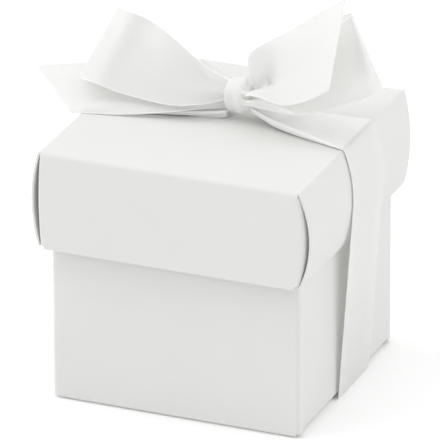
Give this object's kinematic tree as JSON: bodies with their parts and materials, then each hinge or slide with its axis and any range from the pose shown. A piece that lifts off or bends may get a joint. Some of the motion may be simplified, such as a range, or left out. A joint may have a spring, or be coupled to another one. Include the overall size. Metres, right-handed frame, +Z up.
{
  "type": "favor box",
  "caption": "Small white card favor box: tuck-bottom carton, lift-off lid with bowed roll-over sides, and a satin ribbon round both, tied in a bow on top.",
  "frame": {"origin": "on the table, under the middle of the base carton", "axes": "+Z up, +X along the ribbon to the right, -Y to the front"},
  "size_m": [0.0718, 0.0538, 0.0784],
  "materials": {
    "base_card": "uncoated white folding boxboard",
    "lid_card": "uncoated white folding boxboard",
    "satin_ribbon": "single-face white polyester satin"
  },
  "bodies": {
    "base": {"base_front_wall": "base_card", "base_right_wall": "base_card", "base_back_wall": "base_card", "base_left_wall": "base_card", "base_glue_tab": "base_card", "base_bottom_panel": "base_card", "base_tuck_tongue": "base_card", "base_right_dust_flap": "base_card", "base_left_dust_flap": "base_card"},
    "lid": {"lid_top_panel": "lid_card", "lid_front_wall": "lid_card", "lid_back_wall": "lid_card", "lid_right_outer_wall": "lid_card", "lid_left_outer_wall": "lid_card", "lid_right_inner_wall": "lid_card", "lid_left_inner_wall": "lid_card", "lid_front_right_tab": "lid_card", "lid_front_left_tab": "lid_card", "lid_back_right_tab": "lid_card", "lid_back_left_tab": "lid_card"},
    "ribbon_band": {"ribbon_under_strand": "satin_ribbon", "ribbon_right_strand": "satin_ribbon", "ribbon_left_strand": "satin_ribbon"},
    "bow": {"ribbon_top_right_strand": "satin_ribbon", "ribbon_top_left_strand": "satin_ribbon", "bow_knot": "satin_ribbon"},
    "left_loop": {"bow_left_loop": "satin_ribbon"},
    "right_loop": {"bow_right_loop": "satin_ribbon"},
    "left_tail": {"bow_left_tail": "satin_ribbon"},
    "right_tail": {"bow_right_tail": "satin_ribbon"}
  },
  "joints": [
    {"name": "lid_lift", "type": "slide", "parent": "base", "child": "lid", "axis": [0, 0, 1], "range_m": [0, 0.025]},
    {"name": "ribbon_slip", "type": "slide", "parent": "base", "child": "ribbon_band", "axis": [0, 1, 0], "range_m": [0, 0.05]},
    {"name": "bow_lift", "type": "slide", "parent": "ribbon_band", "child": "bow", "axis": [0, 0, 1], "range_m": [0, 0.025], "deforming": ["ribbon_right_strand", "ribbon_left_strand"]},
    {"name": "left_loop_flex", "type": "hinge", "parent": "bow", "child": "left_loop", "pos_m": [-0.0002, 0.002, 0.05675], "axis": [0, 1, 0], "range_deg": [0, 12], "stiffness_Nm_per_rad": 0.0003},
    {"name": "right_loop_flex", "type": "hinge", "parent": "bow", "child": "right_loop", "pos_m": [0.006, 0.0033, 0.057], "axis": [0, 0, 1], "range_deg": [0, 12], "stiffness_Nm_per_rad": 0.0003},
    {"name": "left_tail_swing", "type": "hinge", "parent": "bow", "child": "left_tail", "pos_m": [-0.0002, 0.0032, 0.0545], "axis": [0, 0.2425, -0.9701], "range_deg": [0, 15], "stiffness_Nm_per_rad": 0.0003},
    {"name": "right_tail_swing", "type": "hinge", "parent": "bow", "child": "right_tail", "pos_m": [0.006, 0.0008, 0.059], "axis": [0, 0, -1], "range_deg": [0, 15], "stiffness_Nm_per_rad": 0.0003}
  ],
  "couplings": [
    {"joint": "bow_lift", "follows": "lid_lift", "ratio": 1}
  ]
}
